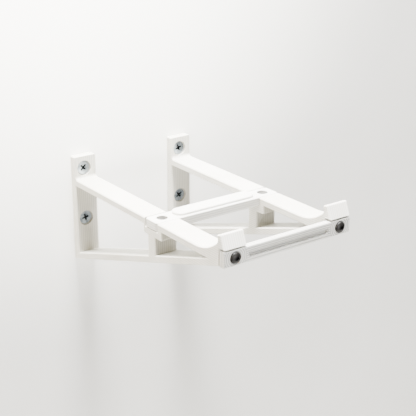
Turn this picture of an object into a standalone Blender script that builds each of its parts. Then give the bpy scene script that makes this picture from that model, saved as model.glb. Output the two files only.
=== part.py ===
"""Wall cradle in printed plastic: two side brackets joined by two cross bars, with its screws.

Each side bracket is a flat profile of one width: a wall plate, an arm whose front end curls up
into a lip, a slanting strut under it and a short upright between the two. The middle bar lies in
a slot across both arm tops. The front bar closes the cradle under the two lips.

Axes: +X runs along the wall to the right, +Y into the wall, +Z up. The wall's face is y = 0. The
origin is in that plane, midway between the two brackets and halfway between the upper and the
lower wall screws. Reach means the distance out from the wall, along -Y. Heights of the bracket's
parts are counted from the top of its arm.
"""

import math

import bmesh
import bpy
from mathutils import Vector

MM = 0.001

# Overall sizes.
BRACKET_SPACING = 64.0 * MM
BRACKET_WIDTH = 13.2 * MM
ARM_REACH = 141.6 * MM
STRUT_FOOT_DROP = 49.2 * MM

# The bracket's own walls and edges.
PLATE_T = 5.2 * MM
PLATE_RISE = 12.75 * MM
PLATE_FILLET = 1.8 * MM
ARM_T = 3.9 * MM
STRUT_T = 3.8 * MM
EDGE_CHAMFER = 0.5 * MM

# The upright at mid arm, and the thicker block round its head.
UPRIGHT_REACH = 81.7 * MM
UPRIGHT_T = 6.6 * MM
BLOCK_BEHIND = 7.3 * MM
BLOCK_AHEAD = 9.4 * MM
BLOCK_DROP = 8.6 * MM
BLOCK_CORNER = 1.4 * MM

# The lip: it leans back, and a ramp and a tight bight lead up to it from the arm.
LIP_LEAN = math.radians(21.5)
LIP_T = 3.2 * MM
LIP_RISE = 11.2 * MM
LIP_CORNER = 0.9 * MM
RAMP_SLOPE = math.radians(35.0)
RAMP_SWEEP = 25.0 * MM
BIGHT_RISE = 6.95 * MM
BIGHT_R = 2.6 * MM

# Clearances that the pieces keep from each other.
FIT_GAP = 0.3 * MM
SEAT_GAP = 0.2 * MM
LIP_GAP = 0.9 * MM

# The middle bar and the low rib on its top.
MIDDLE_BAR_WIDTH = 11.0 * MM
MIDDLE_BAR_T = 4.6 * MM
MIDDLE_BAR_CORNER = 1.8 * MM
BAR_CHAMFER = 0.3 * MM
RIB_WIDTH = 8.9 * MM
RIB_RISE = 1.3 * MM
RIB_BACK_STEP = 0.2 * MM
RIB_END_GAP = 0.5 * MM
TAB_FLOOR_T = 1.2 * MM

# The front bar and the stepped slot along its face.
FRONT_BAR_TOP = 3.2 * MM
FRONT_BAR_HEIGHT = 7.9 * MM
FRONT_BAR_T = 3.4 * MM
SLOT_END_GAP = 0.6 * MM
SHALLOW_SLOT_HEIGHT = 3.8 * MM
SHALLOW_SLOT_DEPTH = 0.5 * MM
DEEP_SLOT_HEIGHT = 1.9 * MM
DEEP_SLOT_DEPTH = 1.5 * MM
DEEP_SLOT_DROP = 0.5 * MM
SPOT_R = 3.4 * MM
SPOT_DEPTH = 0.4 * MM

# Wall screws, 4 x 30 countersunk with a cross recess, and their plugs.
WALL_SCREW_PITCH = 29.5 * MM
WALL_SCREW_ABOVE_ARM = 5.9 * MM
WALL_SCREW_OFFSET = -1.0 * MM
WALL_SCREW_HEAD_R = 3.75 * MM
WALL_SCREW_R = 2.0 * MM
WALL_SCREW_CORE_R = 1.35 * MM
WALL_SCREW_LENGTH = 30.0 * MM
WALL_SCREW_THREAD_PITCH = 2.0 * MM
WALL_SCREW_NECK = 7.0 * MM
WALL_SCREW_TIP = 4.0 * MM
COUNTERSINK_LAND = 1.3 * MM
COUNTERSINK_GAP = 0.5 * MM
HEAD_RIM = 0.35 * MM
PLUG_R = 3.1 * MM
PLUG_LENGTH = 25.0 * MM
PLUG_SINK = 2.3 * MM
PLUG_SLOT_WIDTH = 0.8 * MM
PLUG_SLOT_START = 7.0 * MM
PLUG_RIDGES = 5
PLUG_RIDGE_DEPTH = 0.35 * MM

# M3 joints of the bars: button heads in front, pan heads sunk in the middle.
M3_R = 1.5 * MM
M3_TIP_CHAMFER = 0.4 * MM
FRONT_SCREW_LENGTH = 10.0 * MM
BUTTON_HEAD_R = 2.85 * MM
BUTTON_HEAD_RISE = 1.65 * MM
BUTTON_HEAD_RIM = 0.35 * MM
HEX_ACROSS_FLATS = 2.0 * MM
HEX_DEPTH = 1.0 * MM
MIDDLE_SCREW_LENGTH = 8.0 * MM
PAN_HEAD_R = 2.6 * MM
PAN_HEAD_RISE = 1.3 * MM
PAN_HEAD_RIM = 0.7 * MM
INSERT_R = 2.3 * MM
FRONT_INSERT_LENGTH = 4.6 * MM
MIDDLE_INSERT_LENGTH = 3.0 * MM
INSERT_KNURL_DEPTH = 0.22 * MM
INSERT_TEETH = 9

# Cross recesses: arm lengths and widths at the top, their depth, and how far each wall screw is turned.
WALL_CROSS = (2.15 * MM, 0.55 * MM, 2.1 * MM)
PAN_CROSS = (1.45 * MM, 0.4 * MM, 1.0 * MM)
CROSS_TAPER = 0.55
WALL_SCREW_TURNS = {
    "left_upper": math.radians(45.0),
    "left_lower": math.radians(12.0),
    "right_upper": math.radians(20.0),
    "right_lower": math.radians(38.0),
}

# How finely round shapes are cut.
ARC_STEP = math.radians(8.0)
ARC_ROOM = 0.9999
ROUND_SIDES = 24
THREAD_SIDES = 9
THREAD_RINGS_PER_TURN = 3
PAST = 1.0 * MM

# Worked out from the sizes above.
ARM_TOP = WALL_SCREW_PITCH / 2 - WALL_SCREW_ABOVE_ARM
BAR_LENGTH = BRACKET_SPACING + BRACKET_WIDTH
CLEAR_SPAN = BRACKET_SPACING - BRACKET_WIDTH
FRONT_BAR_LOW = FRONT_BAR_TOP - FRONT_BAR_HEIGHT
FRONT_BAR_MIDDLE = FRONT_BAR_TOP - FRONT_BAR_HEIGHT / 2
FRONT_BAR_BACK = ARM_REACH - FRONT_BAR_T
REBATE_BACK = FRONT_BAR_BACK - FIT_GAP
DADO_DEPTH = MIDDLE_BAR_T + FIT_GAP
M3_HOLE_R = M3_R + FIT_GAP
INSERT_HOLE_R = INSERT_R + FIT_GAP
COUNTERBORE_R = PAN_HEAD_R + FIT_GAP
COUNTERBORE_DEPTH = MIDDLE_BAR_T - TAB_FLOOR_T
SIDES = {"left": -1, "right": 1}

COLOURS = {
    "printed_plastic": ((0.86, 0.86, 0.83), 0.55, 0.0),
    "zinc_steel": ((0.62, 0.63, 0.65), 0.32, 1.0),
    "black_steel": ((0.012, 0.012, 0.013), 0.3, 0.6),
    "brass": ((0.72, 0.52, 0.2), 0.35, 1.0),
    "grey_nylon": ((0.42, 0.43, 0.44), 0.6, 0.0),
}


def side_view(u, v, w):
    """Outline of reach and height, drawn along the wall."""
    return Vector((w, -u, v))


def plan_view(u, v, w):
    """Outline of along-the-wall and reach, drawn upwards."""
    return Vector((u, -v, w))


def front_view(u, v, w):
    """Outline of along-the-wall and height, drawn out from the wall."""
    return Vector((u, -w, v))


def material(name):
    """The named finish, made once."""
    found = bpy.data.materials.get(name)
    if found:
        return found
    colour, roughness, metallic = COLOURS[name]
    made = bpy.data.materials.new(name)
    made.use_nodes = True
    shader = made.node_tree.nodes["Principled BSDF"]
    shader.inputs["Base Color"].default_value = (*colour, 1.0)
    shader.inputs["Roughness"].default_value = roughness
    shader.inputs["Metallic"].default_value = metallic
    made.diffuse_color = (*colour, 1.0)
    return made


def add_object(name, mesh, finish, parent, location=(0, 0, 0), rotation=(0, 0, 0)):
    """Puts a mesh in the scene under its parent."""
    made = bpy.data.objects.new(name, mesh)
    bpy.context.collection.objects.link(made)
    made.parent = parent
    made.location = location
    made.rotation_euler = rotation
    if finish:
        mesh.materials.append(material(finish))
    return made


def mesh_of(name, rings, closed):
    """Skins rings of points into one closed body. An open stack gets a cap on each end."""
    work = bmesh.new()
    loops = [[work.verts.new(point) for point in ring] for ring in rings]
    pairs = list(zip(loops, loops[1:]))
    if closed:
        pairs.append((loops[-1], loops[0]))
    else:
        work.faces.new(loops[0])
        work.faces.new(loops[-1])
    for first, second in pairs:
        for i in range(len(first)):
            j = (i + 1) % len(first)
            work.faces.new((first[i], first[j], second[j], second[i]))
    bmesh.ops.recalc_face_normals(work, faces=work.faces)
    mesh = bpy.data.meshes.new(name)
    work.to_mesh(mesh)
    work.free()
    return mesh


def fitting_radii(corners):
    """Each corner's radius, smaller only where neighbouring arcs would need more than their edge."""
    count = len(corners)
    places = [Vector(corner[:2]) for corner in corners]
    runs = []
    for i, here in enumerate(places):
        half = (places[i - 1] - here).angle(places[(i + 1) % count] - here) / 2
        runs.append(corners[i][2] / math.tan(half))
    radii = []
    for i, corner in enumerate(corners):
        share = 1.0
        for j in (i - 1, (i + 1) % count):
            needed = runs[i] + runs[j]
            length = (places[j] - places[i]).length
            if needed > length:
                share = min(share, ARC_ROOM * length / needed)
        radii.append(corner[2] * share)
    return radii


def rounded(corners):
    """Outline through corners given as (u, v, radius), each corner rounded by an arc."""
    points = []
    radii = fitting_radii(corners)
    for i, (u, v, _) in enumerate(corners):
        radius = radii[i]
        here = Vector((u, v))
        if radius == 0:
            points.append(here)
            continue
        back = (Vector(corners[i - 1][:2]) - here).normalized()
        ahead = (Vector(corners[(i + 1) % len(corners)][:2]) - here).normalized()
        half = back.angle(ahead) / 2
        centre = here + (back + ahead).normalized() * (radius / math.sin(half))
        start = here + back * (radius / math.tan(half)) - centre
        turn = start.angle_signed(here + ahead * (radius / math.tan(half)) - centre)
        steps = max(2, math.ceil(abs(turn) / ARC_STEP))
        for k in range(steps + 1):
            angle = -turn * k / steps
            cosine, sine = math.cos(angle), math.sin(angle)
            points.append(centre + Vector((start.x * cosine - start.y * sine, start.x * sine + start.y * cosine)))
    return points


def signed_area(points):
    """Twice the outline's area, positive when it runs anticlockwise."""
    return sum(a.x * b.y - a.y * b.x for a, b in zip(points, points[1:] + points[:1]))


def inset(points, distance):
    """The outline moved inwards by a distance, or outwards by a negative one."""
    turn = 1 if signed_area(points) > 0 else -1
    moved = []
    for i, point in enumerate(points):
        before = (point - points[i - 1]).normalized()
        after = (points[(i + 1) % len(points)] - point).normalized()
        normals = [Vector((-edge.y, edge.x)) * turn for edge in (before, after)]
        moved.append(point + (normals[0] + normals[1]) * (distance / (1 + normals[0].dot(normals[1]))))
    return moved


def prism(name, points, view, low, high, chamfer=0.0):
    """Outline drawn from low to high, with its end edges chamfered, or flared by a negative chamfer."""
    run = abs(chamfer)
    stations = [(low, 0.0), (high, 0.0)]
    if chamfer:
        stations = [(low, chamfer), (low + run, 0.0), (high - run, 0.0), (high, chamfer)]
    rings = []
    for along, distance in stations:
        outline = inset(points, distance) if distance else points
        rings.append([view(point.x, point.y, along) for point in outline])
    return mesh_of(name, rings, closed=False)


def flared_cutter(name, points, view, low, high, chamfer):
    """Cutter for a through opening between two faces, which leaves a chamfered rim on both."""
    past = chamfer / 2
    stations = (
        (low - past, -chamfer - past),
        (low + chamfer, 0.0),
        (high - chamfer, 0.0),
        (high + past, -chamfer - past),
    )
    rings = []
    for along, distance in stations:
        outline = inset(points, distance) if distance else points
        rings.append([view(point.x, point.y, along) for point in outline])
    return mesh_of(name, rings, closed=False)


def ring(radius, along, sides, factors=(1.0,)):
    """Circle of points round +Z. Factors repeat round it and make teeth."""
    return [
        Vector((
            radius * factors[i % len(factors)] * math.cos(math.tau * i / sides),
            radius * factors[i % len(factors)] * math.sin(math.tau * i / sides),
            along,
        ))
        for i in range(sides)
    ]


def turned(name, profile, sides=ROUND_SIDES, closed=False):
    """Round piece from its profile of (radius, height) pairs, solid or, if closed, a tube."""
    return mesh_of(name, [ring(radius, along, sides) for radius, along in profile], closed)


def stadium(length, width, middle=(0.0, 0.0)):
    """Slot outline with fully round ends, long along its first axis."""
    u, v = middle
    half, radius = length / 2, width / 2
    corner = radius * ARC_ROOM
    return rounded([
        (u - half, v - radius, corner),
        (u + half, v - radius, corner),
        (u + half, v + radius, corner),
        (u - half, v + radius, corner),
    ])


def rectangle(low_u, high_u, low_v, high_v, radius=0.0):
    """Rectangular outline with rounded corners."""
    return rounded([
        (low_u, low_v, radius),
        (high_u, low_v, radius),
        (high_u, high_v, radius),
        (low_u, high_v, radius),
    ])


def change(target, tool_mesh, operation, location=(0, 0, 0), rotation=(0, 0, 0)):
    """Cuts a tool out of the target, or joins it on, by an exact Boolean."""
    tool = add_object(tool_mesh.name, tool_mesh, None, target, location, rotation)
    tool.hide_render = True
    tool.display_type = "WIRE"
    step = target.modifiers.new(tool.name, "BOOLEAN")
    step.operation = operation
    step.solver = "EXACT"
    step.object = tool
    return tool


def cut(target, tool_mesh, **place):
    """Takes a tool's shape out of the target."""
    return change(target, tool_mesh, "DIFFERENCE", **place)


def round_hole(target, name, steps, **place):
    """Stepped round hole down -Z from the tool's origin: (radius, depth) pairs from its mouth."""
    profile = [(steps[0][0], PAST)]
    for radius, depth in steps:
        profile.append((radius, -depth))
    return cut(target, turned(name, profile), **place)


def smooth_round(made, angle=math.radians(30.0)):
    """Shades a round piece smooth, with its hard edges kept."""
    made.data.shade_smooth()
    made.data.set_sharp_from_angle(angle=angle)


OUT_OF_WALL = (math.radians(90.0), 0.0, 0.0)


def strut_underside(reach):
    """Height of the strut's lower face, a straight line from its foot to the front bar's low edge."""
    share = reach / REBATE_BACK
    return -STRUT_FOOT_DROP + (STRUT_FOOT_DROP + FRONT_BAR_LOW) * share


def strut_top(reach):
    """Height of the strut's upper face, parallel to its lower one."""
    slope = math.atan2(STRUT_FOOT_DROP + FRONT_BAR_LOW, REBATE_BACK)
    return strut_underside(reach) + STRUT_T / math.cos(slope)


def reach_of_strut_top(height):
    """Where the strut's upper face is at this height."""
    rise = strut_top(ARM_REACH) - strut_top(0.0)
    return ARM_REACH * (height - strut_top(0.0)) / rise


def lip_points():
    """The lip's two top corners, and the bight's and the ramp's corners."""
    rebate_top = FRONT_BAR_TOP + LIP_GAP
    outer = Vector((ARM_REACH - (LIP_RISE - rebate_top) * math.tan(LIP_LEAN), LIP_RISE))
    across = Vector((math.cos(LIP_LEAN), math.sin(LIP_LEAN)))
    inner = outer - across * LIP_T
    bight = Vector((inner.x + (inner.y - BIGHT_RISE) * math.tan(LIP_LEAN), BIGHT_RISE))
    ramp = Vector((bight.x - BIGHT_RISE / math.tan(RAMP_SLOPE), 0.0))
    return outer, inner, bight, ramp


def bracket_outline():
    """The bracket's outer outline, from the top of its plate round the lip and back along the strut."""
    outer, inner, bight, ramp = lip_points()
    rebate_top = FRONT_BAR_TOP + LIP_GAP
    return rounded([
        (0.0, PLATE_RISE, 0.0),
        (PLATE_T, PLATE_RISE, 0.0),
        (PLATE_T, 0.0, PLATE_FILLET),
        (ramp.x, ramp.y, RAMP_SWEEP),
        (bight.x, bight.y, BIGHT_R),
        (inner.x, inner.y, LIP_CORNER),
        (outer.x, outer.y, LIP_CORNER),
        (ARM_REACH, rebate_top, 0.0),
        (REBATE_BACK, rebate_top, 0.0),
        (REBATE_BACK, strut_underside(REBATE_BACK), 0.0),
        (0.0, strut_underside(0.0), 0.0),
    ])


def back_opening():
    """The large opening between the plate and the upright."""
    upright = UPRIGHT_REACH - UPRIGHT_T / 2
    block = UPRIGHT_REACH - BLOCK_BEHIND
    return rounded([
        (PLATE_T, -ARM_T, 0.0),
        (PLATE_T, strut_top(PLATE_T), 0.0),
        (upright, strut_top(upright), 0.0),
        (upright, -BLOCK_DROP, 0.0),
        (block, -BLOCK_DROP, BLOCK_CORNER),
        (block, -ARM_T, 0.0),
    ])


def front_opening():
    """The small triangle between the upright and the nose."""
    upright = UPRIGHT_REACH + UPRIGHT_T / 2
    block = UPRIGHT_REACH + BLOCK_AHEAD
    return rounded([
        (upright, -BLOCK_DROP, 0.0),
        (upright, strut_top(upright), 0.0),
        (reach_of_strut_top(-ARM_T), -ARM_T, 0.0),
        (block, -ARM_T, 0.0),
        (block, -BLOCK_DROP, BLOCK_CORNER),
    ])


def countersink(target, name, height):
    """Wall-screw hole through the plate: a short straight mouth, a cone, and a clear hole."""
    mouth = WALL_SCREW_HEAD_R + COUNTERSINK_GAP
    hole = WALL_SCREW_R + FIT_GAP
    profile = [
        (mouth, PAST),
        (mouth, -COUNTERSINK_LAND),
        (hole, -COUNTERSINK_LAND - (mouth - hole)),
        (hole, -PLATE_T - PAST),
    ]
    cut(target, turned(name, profile), location=(WALL_SCREW_OFFSET, -PLATE_T, height), rotation=OUT_OF_WALL)


def make_bracket(side, cradle):
    """One side bracket with its openings, slot, and every hole that a screw or insert needs."""
    name = f"{side}_bracket"
    half = BRACKET_WIDTH / 2
    mesh = prism(name, bracket_outline(), side_view, -half, half, EDGE_CHAMFER)
    place = (SIDES[side] * BRACKET_SPACING / 2, 0, ARM_TOP)
    made = add_object(name, mesh, "printed_plastic", cradle, place)
    for part, outline in (("back_opening", back_opening()), ("front_opening", front_opening())):
        cut(made, flared_cutter(f"{name}_{part}", outline, side_view, -half, half, EDGE_CHAMFER))
    slot = rectangle(
        UPRIGHT_REACH - MIDDLE_BAR_WIDTH / 2 - FIT_GAP,
        UPRIGHT_REACH + MIDDLE_BAR_WIDTH / 2 + FIT_GAP,
        -DADO_DEPTH,
        PAST,
    )
    cut(made, prism(f"{name}_slot", slot, side_view, -half - PAST, half + PAST))
    upper = WALL_SCREW_ABOVE_ARM
    countersink(made, f"{name}_upper_hole", upper)
    countersink(made, f"{name}_lower_hole", upper - WALL_SCREW_PITCH)
    pocket = MIDDLE_INSERT_LENGTH + 2 * FIT_GAP
    round_hole(
        made,
        f"{name}_middle_insert_hole",
        [(INSERT_HOLE_R, pocket), (M3_HOLE_R, pocket), (M3_HOLE_R, middle_hole_depth())],
        location=(0, -UPRIGHT_REACH, -DADO_DEPTH),
    )
    pocket = FRONT_INSERT_LENGTH + 2 * FIT_GAP
    round_hole(
        made,
        f"{name}_front_insert_hole",
        [(INSERT_HOLE_R, pocket), (M3_HOLE_R, pocket), (M3_HOLE_R, front_hole_depth())],
        location=(0, -REBATE_BACK, FRONT_BAR_MIDDLE),
        rotation=OUT_OF_WALL,
    )
    return made


def middle_hole_depth():
    """Depth below the slot's floor that clears the middle screw's tip."""
    below_bar = MIDDLE_SCREW_LENGTH + SEAT_GAP - TAB_FLOOR_T
    deepest = max(below_bar - FIT_GAP, MIDDLE_INSERT_LENGTH + FIT_GAP)
    return deepest + 2 * FIT_GAP


def front_screw_seat():
    """Reach of the underside of the front screw's head, on its spot face."""
    return ARM_REACH - SPOT_DEPTH + SEAT_GAP


def front_hole_depth():
    """Depth behind the rebate that clears the front screw's tip."""
    past_bar = FRONT_SCREW_LENGTH - (front_screw_seat() - REBATE_BACK)
    return max(past_bar, FRONT_INSERT_LENGTH + FIT_GAP) + 2 * FIT_GAP


def make_middle_bar(cradle):
    """Flat bar in the two slots, with a low round-ended rib between the arms and two sunk holes."""
    length = BAR_LENGTH / 2
    outline = rectangle(
        -length,
        length,
        UPRIGHT_REACH - MIDDLE_BAR_WIDTH / 2,
        UPRIGHT_REACH + MIDDLE_BAR_WIDTH / 2,
        MIDDLE_BAR_CORNER,
    )
    name = "middle_cross_bar"
    mesh = prism(name, outline, plan_view, -MIDDLE_BAR_T, 0.0, BAR_CHAMFER)
    made = add_object(name, mesh, "printed_plastic", cradle, (0, 0, ARM_TOP))
    back = UPRIGHT_REACH - MIDDLE_BAR_WIDTH / 2 + BAR_CHAMFER + RIB_BACK_STEP
    rib = stadium(CLEAR_SPAN - 2 * RIB_END_GAP, RIB_WIDTH, (0.0, back + RIB_WIDTH / 2))
    change(made, prism(f"{name}_rib", rib, plan_view, -MIDDLE_BAR_T / 2, RIB_RISE, BAR_CHAMFER), "UNION")
    for side, sign in SIDES.items():
        round_hole(
            made,
            f"{name}_{side}_hole",
            [(COUNTERBORE_R, COUNTERBORE_DEPTH), (M3_HOLE_R, COUNTERBORE_DEPTH), (M3_HOLE_R, MIDDLE_BAR_T + PAST)],
            location=(sign * BRACKET_SPACING / 2, -UPRIGHT_REACH, 0),
        )
    return made


def make_front_bar(cradle):
    """Upright bar in the two rebates, with a stepped slot in its face and a spot face round each screw."""
    length = BAR_LENGTH / 2
    name = "front_cross_bar"
    outline = rectangle(-length, length, FRONT_BAR_LOW, FRONT_BAR_TOP)
    mesh = prism(name, outline, front_view, FRONT_BAR_BACK, ARM_REACH, BAR_CHAMFER)
    made = add_object(name, mesh, "printed_plastic", cradle, (0, 0, ARM_TOP))
    span = CLEAR_SPAN - 2 * SLOT_END_GAP
    shallow = stadium(span, SHALLOW_SLOT_HEIGHT, (0.0, FRONT_BAR_MIDDLE))
    cut(made, prism(f"{name}_shallow_slot", shallow, front_view, ARM_REACH - SHALLOW_SLOT_DEPTH, ARM_REACH + PAST))
    deep_middle = FRONT_BAR_MIDDLE - DEEP_SLOT_DROP
    deep_span = span - SHALLOW_SLOT_HEIGHT + DEEP_SLOT_HEIGHT
    deep = stadium(deep_span, DEEP_SLOT_HEIGHT, (0.0, deep_middle))
    cut(made, prism(f"{name}_deep_slot", deep, front_view, ARM_REACH - DEEP_SLOT_DEPTH, ARM_REACH + PAST))
    for side, sign in SIDES.items():
        round_hole(
            made,
            f"{name}_{side}_hole",
            [(SPOT_R, SPOT_DEPTH), (M3_HOLE_R, SPOT_DEPTH), (M3_HOLE_R, FRONT_BAR_T + PAST)],
            location=(sign * BRACKET_SPACING / 2, -ARM_REACH, FRONT_BAR_MIDDLE),
            rotation=OUT_OF_WALL,
        )
    return made


def cross_cutter(name, size):
    """Tapered cross for a cross-recess driver, pointing down -Z from the head's top."""
    arm, half_width, depth = size
    rings = []
    for along, scale in ((PAST, 1.0), (0.0, 1.0), (-depth, CROSS_TAPER)):
        a, w = arm * scale, half_width * scale
        corners = [
            (a, w), (w, w), (w, a), (-w, a), (-w, w), (-a, w),
            (-a, -w), (-w, -w), (-w, -a), (w, -a), (w, -w), (a, -w),
        ]
        rings.append([Vector((u, v, along)) for u, v in corners])
    return mesh_of(name, rings, closed=False)


def thread_rings(top, length):
    """Rings of a single-start wood thread down -Z: a smooth neck, the thread, and a tapered tip."""
    step = WALL_SCREW_THREAD_PITCH / THREAD_RINGS_PER_TURN
    count = round(length / step)
    rings = []
    for k in range(count + 1):
        along = k * length / count
        taper = min(1.0, (length - along) / WALL_SCREW_TIP + 0.12)
        grown = min(1.0, k / THREAD_RINGS_PER_TURN) * min(1.0, (count - k) / THREAD_RINGS_PER_TURN)
        points = []
        for i in range(THREAD_SIDES):
            phase = (k / THREAD_RINGS_PER_TURN - i / THREAD_SIDES) % 1.0
            crest = max(0.0, 1.0 - abs(phase - 0.5) * 2.4)
            radius = (WALL_SCREW_CORE_R + (WALL_SCREW_R - WALL_SCREW_CORE_R) * crest * grown) * taper
            angle = math.tau * i / THREAD_SIDES
            points.append(Vector((radius * math.cos(angle), radius * math.sin(angle), top - along)))
        rings.append(points)
    return rings


def make_wall_screw(name, place, turn, cradle):
    """Countersunk screw: a flat head with a narrow rim, its cone, a neck and a coarse thread."""
    neck_top = -HEAD_RIM - (WALL_SCREW_HEAD_R - WALL_SCREW_CORE_R)
    head = [
        (WALL_SCREW_HEAD_R, 0.0),
        (WALL_SCREW_HEAD_R, -HEAD_RIM),
        (WALL_SCREW_CORE_R, neck_top),
    ]
    rings = [ring(radius, along, THREAD_SIDES * 2) for radius, along in head]
    mesh = mesh_of(name, rings + [ring(WALL_SCREW_CORE_R, -WALL_SCREW_NECK, THREAD_SIDES * 2)], closed=False)
    made = add_object(name, mesh, "zinc_steel", cradle, place, OUT_OF_WALL)
    thread = mesh_of(
        f"{name}_thread",
        thread_rings(-WALL_SCREW_NECK + WALL_SCREW_THREAD_PITCH, WALL_SCREW_LENGTH - WALL_SCREW_NECK + WALL_SCREW_THREAD_PITCH),
        closed=False,
    )
    change(made, thread, "UNION")
    cut(made, cross_cutter(f"{name}_recess", WALL_CROSS), rotation=(0, 0, turn))
    smooth_round(made)
    return made


def make_wall_plug(name, place, cradle):
    """Expansion plug: a sleeve with saw-tooth ridges and one slit through its tail. Its origin is its mouth."""
    bore = WALL_SCREW_R + FIT_GAP
    ridge_run = (PLUG_LENGTH - PLUG_SLOT_START) / PLUG_RIDGES
    outer = [(PLUG_R, 0.0)]
    for k in range(PLUG_RIDGES):
        start = PLUG_SLOT_START + k * ridge_run
        outer.append((PLUG_R, -start))
        outer.append((PLUG_R - PLUG_RIDGE_DEPTH, -start - ridge_run * 0.1))
    outer.append((PLUG_R - PLUG_RIDGE_DEPTH, -PLUG_LENGTH))
    profile = outer + [(bore, -PLUG_LENGTH), (bore, 0.0)]
    made = add_object(name, turned(name, profile, THREAD_SIDES * 2, closed=True), "grey_nylon", cradle, place, OUT_OF_WALL)
    half = PLUG_SLOT_WIDTH / 2
    slit = rectangle(-half, half, -PLUG_R - PAST, PLUG_R + PAST)
    rings = [
        [Vector((point.x, point.y, along)) for point in slit]
        for along in (-PLUG_LENGTH - PAST, -PLUG_SLOT_START)
    ]
    cut(made, mesh_of(f"{name}_slit", rings, closed=False))
    smooth_round(made)
    return made


def shank(length, radius=M3_R):
    """Profile of a plain shank below a head: full diameter, then a chamfered tip."""
    return [(radius, 0.0), (radius, -length + M3_TIP_CHAMFER), (radius - M3_TIP_CHAMFER, -length)]


def make_front_screw(name, place, cradle):
    """M3 button-head screw with a hexagon socket. Its origin is under its head."""
    dome = []
    steps = 5
    for k in range(steps + 1):
        angle = math.radians(90.0) * (1 - k / steps)
        radius = BUTTON_HEAD_R * math.cos(angle)
        if k == 0:
            radius = BUTTON_HEAD_R * 0.12
        dome.append((radius, BUTTON_HEAD_RIM + (BUTTON_HEAD_RISE - BUTTON_HEAD_RIM) * math.sin(angle)))
    profile = dome + [(BUTTON_HEAD_R, 0.0)] + shank(FRONT_SCREW_LENGTH)
    made = add_object(name, turned(name, profile), "black_steel", cradle, place, OUT_OF_WALL)
    corner = HEX_ACROSS_FLATS / math.sqrt(3.0)
    low = BUTTON_HEAD_RISE - HEX_DEPTH
    rings = [ring(corner, along, 6) for along in (BUTTON_HEAD_RISE + PAST, low)]
    cut(made, mesh_of(f"{name}_socket", rings, closed=False))
    smooth_round(made)
    return made


def make_middle_screw(name, place, cradle):
    """M3 pan-head screw with a cross recess. Its origin is under its head."""
    profile = [
        (PAN_HEAD_R * 0.72, PAN_HEAD_RISE),
        (PAN_HEAD_R * 0.93, PAN_HEAD_RISE * 0.82),
        (PAN_HEAD_R, PAN_HEAD_RIM),
        (PAN_HEAD_R, 0.0),
    ] + shank(MIDDLE_SCREW_LENGTH)
    made = add_object(name, turned(name, profile), "black_steel", cradle, place)
    cut(made, cross_cutter(f"{name}_recess", PAN_CROSS), location=(0, 0, PAN_HEAD_RISE))
    smooth_round(made)
    return made


def make_insert(name, length, place, rotation, cradle):
    """Knurled brass insert with two toothed bands and a plain groove and nose. Its origin is its mouth."""
    bore = M3_R + SEAT_GAP
    root = INSERT_R - INSERT_KNURL_DEPTH
    toothed = (1.0, 1.0 - INSERT_KNURL_DEPTH / INSERT_R)
    plain = (1.0,)
    bands = [
        (INSERT_R, 0.0, toothed),
        (INSERT_R, 0.36, toothed),
        (root, 0.40, plain),
        (root, 0.50, plain),
        (INSERT_R, 0.54, toothed),
        (INSERT_R, 0.82, toothed),
        (root, 0.86, plain),
        (root, 1.0, plain),
        (bore, 1.0, plain),
        (bore, 0.0, plain),
    ]
    sides = INSERT_TEETH * 2
    rings = [ring(radius, -share * length, sides, factors) for radius, share, factors in bands]
    return add_object(name, mesh_of(name, rings, closed=True), "brass", cradle, place, rotation)


def make_wall_fixings(cradle):
    """Four screws through the plates, each in its own plug, pushed in a little below the wall's face."""
    sunk = COUNTERSINK_LAND + COUNTERSINK_GAP - HEAD_RIM - FIT_GAP * math.sqrt(2.0)
    head_reach = PLATE_T - sunk
    for side, sign in SIDES.items():
        for level, height in (("upper", 1), ("lower", -1)):
            x = sign * BRACKET_SPACING / 2 + WALL_SCREW_OFFSET
            z = height * WALL_SCREW_PITCH / 2
            turn = WALL_SCREW_TURNS[f"{side}_{level}"]
            make_wall_screw(f"{side}_{level}_wall_screw", (x, -head_reach, z), turn, cradle)
            make_wall_plug(f"{side}_{level}_wall_plug", (x, PLUG_SINK, z), cradle)


def make_bar_fixings(cradle):
    """The four M3 joints of the two bars, each a screw and its insert."""
    for side, sign in SIDES.items():
        x = sign * BRACKET_SPACING / 2
        front = ARM_TOP + FRONT_BAR_MIDDLE
        make_front_screw(f"{side}_front_screw", (x, -front_screw_seat(), front), cradle)
        place = (x, -REBATE_BACK + FIT_GAP, front)
        make_insert(f"{side}_front_insert", FRONT_INSERT_LENGTH, place, OUT_OF_WALL, cradle)
        seat = ARM_TOP - COUNTERBORE_DEPTH + SEAT_GAP
        make_middle_screw(f"{side}_middle_screw", (x, -UPRIGHT_REACH, seat), cradle)
        place = (x, -UPRIGHT_REACH, ARM_TOP - DADO_DEPTH - FIT_GAP)
        make_insert(f"{side}_middle_insert", MIDDLE_INSERT_LENGTH, place, (0.0, 0.0, 0.0), cradle)


def main():
    """Empties the scene and builds the cradle."""
    for old in list(bpy.data.objects):
        bpy.data.objects.remove(old, do_unlink=True)
    cradle = bpy.data.objects.new("cradle", None)
    bpy.context.collection.objects.link(cradle)
    for side in SIDES:
        make_bracket(side, cradle)
    make_middle_bar(cradle)
    make_front_bar(cradle)
    make_wall_fixings(cradle)
    make_bar_fixings(cradle)


main()
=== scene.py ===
# %% [markdown]
# A wall cradle of printed plastic: two side brackets on a wall, tied by two cross bars, with
# their screws, wall plugs and brass inserts. The solids are built already. Every one keeps its
# shape and place, and this script gives each its real surface and sets the room round it.

import math

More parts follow.
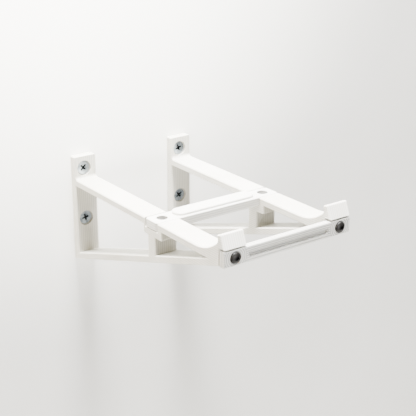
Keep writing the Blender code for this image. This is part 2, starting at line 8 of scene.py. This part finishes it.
import bpy
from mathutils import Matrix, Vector


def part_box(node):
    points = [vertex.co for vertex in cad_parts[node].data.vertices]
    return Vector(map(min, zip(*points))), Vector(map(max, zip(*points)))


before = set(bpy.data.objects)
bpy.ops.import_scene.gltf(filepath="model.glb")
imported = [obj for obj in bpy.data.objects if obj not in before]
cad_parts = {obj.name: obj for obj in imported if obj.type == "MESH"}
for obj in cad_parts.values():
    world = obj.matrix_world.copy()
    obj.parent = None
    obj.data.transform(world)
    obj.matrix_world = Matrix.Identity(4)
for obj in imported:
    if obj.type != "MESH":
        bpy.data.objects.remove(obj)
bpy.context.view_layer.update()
print("nodes:", sorted(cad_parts))

# %% [markdown]
# Real sizes are easiest to think about in millimetres, so one name turns them into metres.
# Colours are written as the hex values that a paint chart would give, and one function turns
# them into the linear values that shaders work in.

# %% Units and colour
MM = 0.001


def linear(hex_code):
    """Linear RGBA of an sRGB hex colour."""
    channels = [int(hex_code[i:i + 2], 16) / 255 for i in (1, 3, 5)]
    return [c / 12.92 if c <= 0.04045 else ((c + 0.055) / 1.055) ** 2.4 for c in channels] + [1.0]


print("a middle grey in linear light:", [round(c, 3) for c in linear("#808080")])

# %% [markdown]
# Every finish is a small graph of nodes. One helper adds any node, sets its properties and
# its sockets, and links it, so the graph reads from top to bottom like a recipe.

# %% The node helper


def add_node(tree, kind, settings=None, **inputs):
    """Adds a node. Settings are its properties, and inputs are its sockets.

    A socket is named with _ for each space, or with _ and its index. Its value is a constant,
    or a (node, output) pair to link.
    """
    node = tree.nodes.new(kind)
    for name, value in (settings or {}).items():
        setattr(node, name, value)
    for name, value in inputs.items():
        socket = node.inputs[int(name[1:]) if name[0] == "_" else name.replace("_", " ")]
        if isinstance(value, tuple) and isinstance(value[0], bpy.types.Node):
            tree.links.new(value[0].outputs[value[1]], socket)
        else:
            socket.default_value = value
    return node


def empty_finish(name):
    """A new material and its node tree, with no node in it yet."""
    made = bpy.data.materials.new(name)
    made.use_nodes = True
    made.node_tree.nodes.clear()
    return made, made.node_tree


print("helpers ready")

# %% [markdown]
# The brackets and bars are printed by a nozzle that lays sheet upon sheet. A face that cuts
# through the sheets shows their edges as fine lines, and a face that lies along them shows the
# nozzle's side-by-side passes. Each bracket was printed lying on its side, so its sheets are
# stacked along the wall. Both kinds of line are sine waves of a place along one axis, mixed by
# the way the face looks, and a stretched noise makes some sheets wider than others.
# A real layer is 0.2 mm, finer than a view from this distance can show, so the lines are drawn
# at 1.2 mm. Round a screw hole the nozzle goes in circles, so rings replace the passes there.

# %% Layers and nozzle passes
LAYER = 1.2 * MM
LAYER_WANDER = 0.35 * LAYER
LANE = 1.1 * MM
RING_ZONE = 6.4 * MM
NOISE_THROUGH_SHEETS = 1500.0
NOISE_ALONG_SHEETS = 30.0
UNEVEN_SHARE = 1.8


def printed_relief(tree, place, stack, passes, hole_centres):
    """The height of the print's lines, and the noise that makes its sheets uneven."""
    split = add_node(tree, "ShaderNodeSeparateXYZ", Vector=(place, "Object"))
    wander = add_node(tree, "ShaderNodeTexNoise", Vector=(place, "Object"),
                      Scale=55.0, Detail=2.0, Roughness=0.5)
    shift = add_node(tree, "ShaderNodeMath", {"operation": "MULTIPLY_ADD"},
                     _0=(wander, "Fac"), _1=LAYER_WANDER, _2=(split, stack))
    turns = add_node(tree, "ShaderNodeMath", {"operation": "MULTIPLY"},
                     _0=(shift, 0), _1=math.tau / LAYER)
    layers = add_node(tree, "ShaderNodeMath", {"operation": "SINE"}, _0=(turns, 0))
    stretch = [NOISE_THROUGH_SHEETS if axis == stack else NOISE_ALONG_SHEETS for axis in "XYZ"]
    flattened = add_node(tree, "ShaderNodeVectorMath", {"operation": "MULTIPLY"},
                         _0=(place, "Object"), _1=stretch)
    uneven = add_node(tree, "ShaderNodeTexNoise", Vector=(flattened, 0),
                      Scale=1.0, Detail=3.0, Roughness=0.65)

    across = add_node(tree, "ShaderNodeMath", {"operation": "MULTIPLY"},
                      _0=(split, passes), _1=math.tau / LANE)
    lanes = add_node(tree, "ShaderNodeMath", {"operation": "SINE"}, _0=(across, 0))
    for centre in hole_centres:
        radius = add_node(tree, "ShaderNodeVectorMath", {"operation": "DISTANCE"},
                          _0=(place, "Object"), _1=centre)
        turn = add_node(tree, "ShaderNodeMath", {"operation": "MULTIPLY"},
                        _0=(radius, "Value"), _1=math.tau / LANE)
        rings = add_node(tree, "ShaderNodeMath", {"operation": "SINE"}, _0=(turn, 0))
        inside = add_node(tree, "ShaderNodeMath", {"operation": "LESS_THAN"},
                          _0=(radius, "Value"), _1=RING_ZONE)
        lanes = add_node(tree, "ShaderNodeMix", {"data_type": "FLOAT"},
                         Factor=(inside, 0), _2=(lanes, 0), _3=(rings, 0))

    normal = add_node(tree, "ShaderNodeNewGeometry")
    facing = add_node(tree, "ShaderNodeSeparateXYZ", Vector=(normal, "Normal"))
    squared = add_node(tree, "ShaderNodeMath", {"operation": "MULTIPLY"},
                       _0=(facing, stack), _1=(facing, stack))
    on_edge = add_node(tree, "ShaderNodeMath", {"operation": "SUBTRACT", "use_clamp": True},
                       _0=1.0, _1=(squared, 0))
    lines = add_node(tree, "ShaderNodeMix", {"data_type": "FLOAT"},
                     Factor=(on_edge, 0), _2=(lanes, 0), _3=(layers, 0))
    height = add_node(tree, "ShaderNodeMath", {"operation": "MULTIPLY_ADD"},
                      _0=(uneven, "Fac"), _1=UNEVEN_SHARE, _2=(lines, 0))
    return height, uneven


print("a line every", round(LAYER / MM, 2), "mm, a pass every", round(LANE / MM, 2), "mm")

# %% [markdown]
# The plastic is white PLA: satin, slightly translucent, with an IOR of about 1.46. Light goes
# about a millimetre into it, which softens the shade beside its edges. Its white is painted
# darker where its relief is low, in the grooves between its lines, as painted shade, and a soft
# mottle varies the white from place to place.

# %% Printed plastic
PLA_IOR = 1.46
PLA_ROUGHNESS = (0.39, 0.55)
SCATTER_SHARE = 0.12
SCATTER_DEPTH = 1.2 * MM
SCATTER_COLOURS = (1.0, 0.9, 0.8)
RELIEF_DEPTH = 0.08 * MM
RELIEF_STRENGTH = 0.32


def printed_plastic(name, stack, passes, light, dark, groove_shade_tone, hole_centres=()):
    """White PLA with its sheets stacked along one axis and its passes side by side on another."""
    made, tree = empty_finish(name)
    place = add_node(tree, "ShaderNodeTexCoord")
    height, uneven = printed_relief(tree, place, stack, passes, hole_centres)
    bump = add_node(tree, "ShaderNodeBump", Strength=RELIEF_STRENGTH, Distance=RELIEF_DEPTH,
                    Height=(height, 0))
    mottle = add_node(tree, "ShaderNodeTexNoise", Vector=(place, "Object"),
                      Scale=38.0, Detail=4.0, Roughness=0.6)
    tone = add_node(tree, "ShaderNodeValToRGB", Fac=(mottle, "Fac"))
    tone.color_ramp.elements[0].position = 0.32
    tone.color_ramp.elements[0].color = linear(dark)
    tone.color_ramp.elements[1].position = 0.62
    tone.color_ramp.elements[1].color = linear(light)
    # Painted shade: the colour is darkened where the relief is low, down to the groove shade
    # tone.
    groove_shade = add_node(tree, "ShaderNodeMapRange", Value=(height, 0),
                      _1=-0.2, _2=1.5, _3=groove_shade_tone, _4=1.0)
    shaded = add_node(tree, "ShaderNodeMix", {"data_type": "RGBA", "blend_type": "MULTIPLY"},
                      _0=1.0, _6=(tone, "Color"), _7=(groove_shade, 0))
    gloss = add_node(tree, "ShaderNodeMapRange", Value=(uneven, "Fac"),
                     _1=0.3, _2=0.7, _3=PLA_ROUGHNESS[0], _4=PLA_ROUGHNESS[1])
    shader = add_node(tree, "ShaderNodeBsdfPrincipled", Base_Color=(shaded, 2),
                      Roughness=(gloss, 0), Normal=(bump, 0))
    shader.inputs["IOR"].default_value = PLA_IOR
    shader.inputs["Subsurface Weight"].default_value = SCATTER_SHARE
    shader.inputs["Subsurface Radius"].default_value = SCATTER_COLOURS
    shader.inputs["Subsurface Scale"].default_value = SCATTER_DEPTH
    add_node(tree, "ShaderNodeOutputMaterial", Surface=(shader, 0))
    print(name, "has its sheets along", stack, "and its passes along", passes)
    return made


# %% [markdown]
# Three finishes differ in how the piece lay on the print bed: the brackets on their side, the
# middle bar flat, and the front bar with its face up, where its two screw holes have rings.

# %% The three prints
# The last number is how dark the painted shade in the grooves gets; the front bar's is the
# deepest.
print_side = printed_plastic("printed_pla_on_its_side", "X", "Z", "#E4E2DA", "#D9D6CA", 0.8)
print_flat = printed_plastic("printed_pla_flat", "Z", "Y", "#E2E1DC", "#D9D7D0", 0.8)
front_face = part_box("front_cross_bar")[0][1]
front_holes = []
for hole in ("left_front_insert", "right_front_insert"):
    low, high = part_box(hole)
    front_holes.append(((low[0] + high[0]) / 2, front_face, (low[2] + high[2]) / 2))
print_upright = printed_plastic("printed_pla_face_up", "Y", "Z", "#E2E1DC", "#D4D2CA", 0.42,
                                front_holes)
print("rings round", [[round(v / MM, 1) for v in hole] for hole in front_holes], "mm")

# %% [markdown]
# The four wall screws are steel with a bright zinc plate: a cool grey metal, smooth but slightly
# cloudy, with fine scratches on the head. The cross recess is painted darker the deeper it goes,
# as painted shade where its walls hide the light. A metal keeps the default IOR and is fully
# metallic.

# %% Zinc-plated steel
ZINC_ROUGHNESS = (0.24, 0.4)
RECESS_START = 0.1 * MM
RECESS_DEEP = 0.7 * MM
RECESS_SHADE_TONE = 0.12

zinc, tree = empty_finish("zinc_plated_steel")
place = add_node(tree, "ShaderNodeTexCoord")
cloud = add_node(tree, "ShaderNodeTexNoise", Vector=(place, "Object"),
                 Scale=420.0, Detail=4.0, Roughness=0.6)
scratch_run = add_node(tree, "ShaderNodeVectorMath", {"operation": "MULTIPLY"},
                       _0=(place, "Object"), _1=[900.0, 900.0, 6000.0])
scratch = add_node(tree, "ShaderNodeTexNoise", Vector=(scratch_run, 0),
                   Scale=1.0, Detail=2.0, Roughness=0.5)
tone = add_node(tree, "ShaderNodeValToRGB", Fac=(cloud, "Fac"))
tone.color_ramp.elements[0].position = 0.35
tone.color_ramp.elements[0].color = linear("#7A8288")
tone.color_ramp.elements[1].position = 0.65
tone.color_ramp.elements[1].color = linear("#B4BDC4")
head_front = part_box("left_upper_wall_screw")[0][1]
split = add_node(tree, "ShaderNodeSeparateXYZ", Vector=(place, "Object"))
# Painted shade: the zinc's colour is darkened the deeper a point lies in the cross recess.
recess_shade = add_node(tree, "ShaderNodeMapRange", Value=(split, "Y"), _1=head_front + RECESS_START,
                _2=head_front + RECESS_DEEP, _3=1.0, _4=RECESS_SHADE_TONE)
zinc_with_recess_shade = add_node(tree, "ShaderNodeMix", {"data_type": "RGBA", "blend_type": "MULTIPLY"},
                _0=1.0, _6=(tone, "Color"), _7=(recess_shade, 0))
gloss = add_node(tree, "ShaderNodeMapRange", Value=(scratch, "Fac"),
                 _1=0.3, _2=0.7, _3=ZINC_ROUGHNESS[0], _4=ZINC_ROUGHNESS[1])
bump = add_node(tree, "ShaderNodeBump", Strength=0.15, Distance=0.02 * MM,
                Height=(scratch, "Fac"))
shader = add_node(tree, "ShaderNodeBsdfPrincipled", Base_Color=(zinc_with_recess_shade, 2),
                  Roughness=(gloss, 0), Normal=(bump, 0))
shader.inputs["Metallic"].default_value = 1.0
add_node(tree, "ShaderNodeOutputMaterial", Surface=(shader, 0))
print("zinc ready, the heads' fronts are at", round(head_front / MM, 2), "mm")

# %% [markdown]
# The machine screws are black-oxide steel: a dark conversion coat, nearly black and satin, with
# a faint brown where the coat is thin. It isn't a bare metal any more, so it is drawn as a dark
# dielectric, with a weak reflection because the porous coat takes most of the light in.

# %% Black oxide
OXIDE_ROUGHNESS = (0.38, 0.52)
OXIDE_REFLECTION = 0.22

black_oxide, tree = empty_finish("black_oxide_steel")
place = add_node(tree, "ShaderNodeTexCoord")
cloud = add_node(tree, "ShaderNodeTexNoise", Vector=(place, "Object"),
                 Scale=700.0, Detail=3.0, Roughness=0.6)
tone = add_node(tree, "ShaderNodeValToRGB", Fac=(cloud, "Fac"))
tone.color_ramp.elements[0].color = linear("#0B0B0C")
tone.color_ramp.elements[1].color = linear("#1B1917")
gloss = add_node(tree, "ShaderNodeMapRange", Value=(cloud, "Fac"),
                 _1=0.3, _2=0.7, _3=OXIDE_ROUGHNESS[0], _4=OXIDE_ROUGHNESS[1])
shader = add_node(tree, "ShaderNodeBsdfPrincipled", Base_Color=(tone, "Color"),
                  Roughness=(gloss, 0))
shader.inputs["Specular IOR Level"].default_value = OXIDE_REFLECTION
add_node(tree, "ShaderNodeOutputMaterial", Surface=(shader, 0))
print("black oxide ready")

# %% [markdown]
# The inserts are turned brass, so fine rings run round them from the lathe. A noise that is
# stretched along one axis draws those rings as bump and as a small change of tone. They are
# hidden once the cradle is up.

# %% Turned brass
brass, tree = empty_finish("turned_brass")
place = add_node(tree, "ShaderNodeTexCoord")
lathe_run = add_node(tree, "ShaderNodeVectorMath", {"operation": "MULTIPLY"},
                     _0=(place, "Object"), _1=[300.0, 5000.0, 5000.0])
lathe = add_node(tree, "ShaderNodeTexNoise", Vector=(lathe_run, 0), Scale=1.0, Detail=2.0)
tone = add_node(tree, "ShaderNodeValToRGB", Fac=(lathe, "Fac"))
tone.color_ramp.elements[0].color = linear("#B58A3C")
tone.color_ramp.elements[1].color = linear("#E0BD72")
bump = add_node(tree, "ShaderNodeBump", Strength=0.2, Distance=0.02 * MM, Height=(lathe, "Fac"))
shader = add_node(tree, "ShaderNodeBsdfPrincipled", Base_Color=(tone, "Color"),
                  Normal=(bump, 0))
shader.inputs["Metallic"].default_value = 1.0
shader.inputs["Roughness"].default_value = 0.28
add_node(tree, "ShaderNodeOutputMaterial", Surface=(shader, 0))
print("brass ready")

# %% [markdown]
# The wall plugs are moulded grey nylon with an IOR of about 1.53, and carry a little stone dust
# from the drilled hole, which a patchy tone and a fine bump stand for. They sit in the wall.

# %% Moulded nylon
NYLON_IOR = 1.53

nylon, tree = empty_finish("moulded_nylon")
place = add_node(tree, "ShaderNodeTexCoord")
dust = add_node(tree, "ShaderNodeTexNoise", Vector=(place, "Object"),
                Scale=260.0, Detail=5.0, Roughness=0.7)
tone = add_node(tree, "ShaderNodeValToRGB", Fac=(dust, "Fac"))
tone.color_ramp.elements[0].position = 0.4
tone.color_ramp.elements[0].color = linear("#7C7F82")
tone.color_ramp.elements[1].position = 0.7
tone.color_ramp.elements[1].color = linear("#A5A49E")
bump = add_node(tree, "ShaderNodeBump", Strength=0.2, Distance=0.05 * MM, Height=(dust, "Fac"))
shader = add_node(tree, "ShaderNodeBsdfPrincipled", Base_Color=(tone, "Color"),
                  Normal=(bump, 0))
shader.inputs["Roughness"].default_value = 0.55
shader.inputs["IOR"].default_value = NYLON_IOR
add_node(tree, "ShaderNodeOutputMaterial", Surface=(shader, 0))
print("nylon ready")

# %% [markdown]
# Each solid keeps its mesh and gets its real finish in its material slots. The end of a piece's
# name says what it is made of.

# %% Dress the solids
FINISHES = {
    "bracket": print_side,
    "middle_cross_bar": print_flat,
    "front_cross_bar": print_upright,
    "wall_screw": zinc,
    "middle_screw": black_oxide,
    "front_screw": black_oxide,
    "insert": brass,
    "plug": nylon,
}

for node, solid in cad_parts.items():
    finish = next(FINISHES[ending] for ending in FINISHES if node.endswith(ending))
    for slot in solid.material_slots:
        slot.material = finish
print("dressed", len(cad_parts), "solids")

# %% [markdown]
# The room is a painted wall that holds the cradle and a pale floor far below. The wall stands a
# hair behind the brackets' backs, so that the two faces don't flicker into each other.

# %% Wall and floor
WALL_SIZE = 2.4
FLOOR_DROP = 0.55
WALL_GAP = 0.2 * MM


def sheet(name, corners):
    """A flat backdrop through four corners."""
    mesh = bpy.data.meshes.new(name)
    mesh.from_pydata(corners, [], [(0, 1, 2, 3)])
    made = bpy.data.objects.new(name, mesh)
    bpy.context.collection.objects.link(made)
    return made


half = WALL_SIZE / 2
wall = sheet("painted_wall", [(-half, WALL_GAP, -FLOOR_DROP), (half, WALL_GAP, -FLOOR_DROP),
                              (half, WALL_GAP, half), (-half, WALL_GAP, half)])
floor = sheet("pale_floor", [(-half, -half, -FLOOR_DROP), (half, -half, -FLOOR_DROP),
                             (half, half, -FLOOR_DROP), (-half, half, -FLOOR_DROP)])
print("wall", WALL_SIZE, "m wide, floor", FLOOR_DROP, "m below")

# %% [markdown]
# The wall has matt paint put on with a roller, which leaves a fine texture and faint patches. A
# soft pool of glow above the cradle stands for the lamp's bright patch. The paint is seen from
# the front only, so the screws and plugs in the wall can be looked at from the back.

# %% Wall paint
GLOW_PLACE = (-0.05, 0.0, 0.2)
GLOW_REACH = 0.3
GLOW_STRENGTH = 9.0

wall_paint, tree = empty_finish("matt_wall_paint")
place = add_node(tree, "ShaderNodeTexCoord")
roller = add_node(tree, "ShaderNodeTexNoise", Vector=(place, "Object"),
                  Scale=220.0, Detail=5.0, Roughness=0.6)
patches = add_node(tree, "ShaderNodeTexNoise", Vector=(place, "Object"),
                   Scale=9.0, Detail=3.0, Roughness=0.5)
tone = add_node(tree, "ShaderNodeValToRGB", Fac=(patches, "Fac"))
tone.color_ramp.elements[0].position = 0.3
tone.color_ramp.elements[0].color = linear("#D8D7D2")
tone.color_ramp.elements[1].position = 0.7
tone.color_ramp.elements[1].color = linear("#DFDEDA")
bump = add_node(tree, "ShaderNodeBump", Strength=0.25, Distance=0.3 * MM, Height=(roller, "Fac"))
from_pool = add_node(tree, "ShaderNodeVectorMath", {"operation": "DISTANCE"},
                     _0=(place, "Object"), _1=GLOW_PLACE)
pool = add_node(tree, "ShaderNodeMapRange", {"interpolation_type": "SMOOTHSTEP"},
                Value=(from_pool, "Value"), _1=0.0, _2=GLOW_REACH, _3=GLOW_STRENGTH, _4=0.0)
paint = add_node(tree, "ShaderNodeBsdfPrincipled", Base_Color=(tone, "Color"),
                 Normal=(bump, 0), Emission_Strength=(pool, 0))
paint.inputs["Emission Color"].default_value = linear("#FFFDF3")
paint.inputs["Roughness"].default_value = 0.75
side = add_node(tree, "ShaderNodeNewGeometry")
clear = add_node(tree, "ShaderNodeBsdfTransparent")
one_sided = add_node(tree, "ShaderNodeMixShader", _0=(side, "Backfacing"),
                     _1=(paint, 0), _2=(clear, 0))
add_node(tree, "ShaderNodeOutputMaterial", Surface=(one_sided, 0))
wall.data.materials.append(wall_paint)
print("wall paint ready, its glow fades out at", GLOW_REACH, "m")

# %% [markdown]
# The floor is out of view. It is pale and rough, and sends a little light up to the undersides.

# %% Floor
floor_paint, tree = empty_finish("pale_floor")
place = add_node(tree, "ShaderNodeTexCoord")
grain = add_node(tree, "ShaderNodeTexNoise", Vector=(place, "Object"), Scale=120.0, Detail=3.0)
tone = add_node(tree, "ShaderNodeValToRGB", Fac=(grain, "Fac"))
tone.color_ramp.elements[0].color = linear("#DAD9D5")
tone.color_ramp.elements[1].color = linear("#E2E1DD")
cover = add_node(tree, "ShaderNodeBsdfPrincipled", Base_Color=(tone, "Color"))
cover.inputs["Roughness"].default_value = 0.8
add_node(tree, "ShaderNodeOutputMaterial", Surface=(cover, 0))
floor.data.materials.append(floor_paint)
print("floor ready")

# %% [markdown]
# Most of the light comes straight down from a ceiling lamp close to the wall, so tops are bright
# and what hangs below them is in shade. A warm lamp far to the left lights the left sides, and
# a low window opposite lights the front bar, which keeps the middle bar behind it in shade.

# %% Lights
LIT_POINT = (0.0, -0.07, 0.0)
SKY_STRENGTH = 0.06


def area_light(name, place, size, power, colour):
    """A square soft light that looks at the lit point. Size in metres, power in watts."""
    data = bpy.data.lights.new(name, "AREA")
    data.size = size
    data.energy = power
    data.color = linear(colour)[:3]
    made = bpy.data.objects.new(name, data)
    made.location = place
    made.rotation_mode = "QUATERNION"
    made.rotation_quaternion = (Vector(LIT_POINT) - Vector(place)).to_track_quat("-Z", "Y")
    bpy.context.collection.objects.link(made)


area_light("ceiling", (-0.03, -0.10, 0.9), size=0.2, power=92.0, colour="#FFFEFC")
area_light("ceiling_front", (-0.03, -0.28, 0.9), size=0.3, power=24.0, colour="#FFFEFC")
area_light("left_by_the_wall", (-1.1, -0.08, 0.1), size=0.3, power=10.5, colour="#FFE8C6")
area_light("opposite_window", (0.0, -1.3, 0.03), size=0.12, power=13.0, colour="#FFFFFF")
world = bpy.data.worlds.new("soft_room")
bpy.context.scene.world = world
world.use_nodes = True
sky = world.node_tree.nodes["Background"]
sky.inputs["Color"].default_value = linear("#F3F2EE")
sky.inputs["Strength"].default_value = SKY_STRENGTH

# %% [markdown]
# The camera is a long lens, above and to the left, as a person holds a phone a step away and
# zooms in. Its place is in metres from the wall's face, and its aim is a direction.

# %% Camera
LENS = 84.1
SENSOR_WIDTH = 36.0
CAMERA_PLACE = Vector((-0.2788, -0.4595, 0.1828))
CAMERA_AIM = Vector((0.5511, 0.7571, -0.3508))

lens = bpy.data.cameras.new("camera")
lens.sensor_width = SENSOR_WIDTH
lens.lens = LENS
camera = bpy.data.objects.new("camera", lens)
camera.location = CAMERA_PLACE
camera.rotation_mode = "QUATERNION"
camera.rotation_quaternion = CAMERA_AIM.to_track_quat("-Z", "Y")
bpy.context.collection.objects.link(camera)
bpy.context.scene.camera = camera
print("camera", round(CAMERA_PLACE.length, 3), "m from the origin")
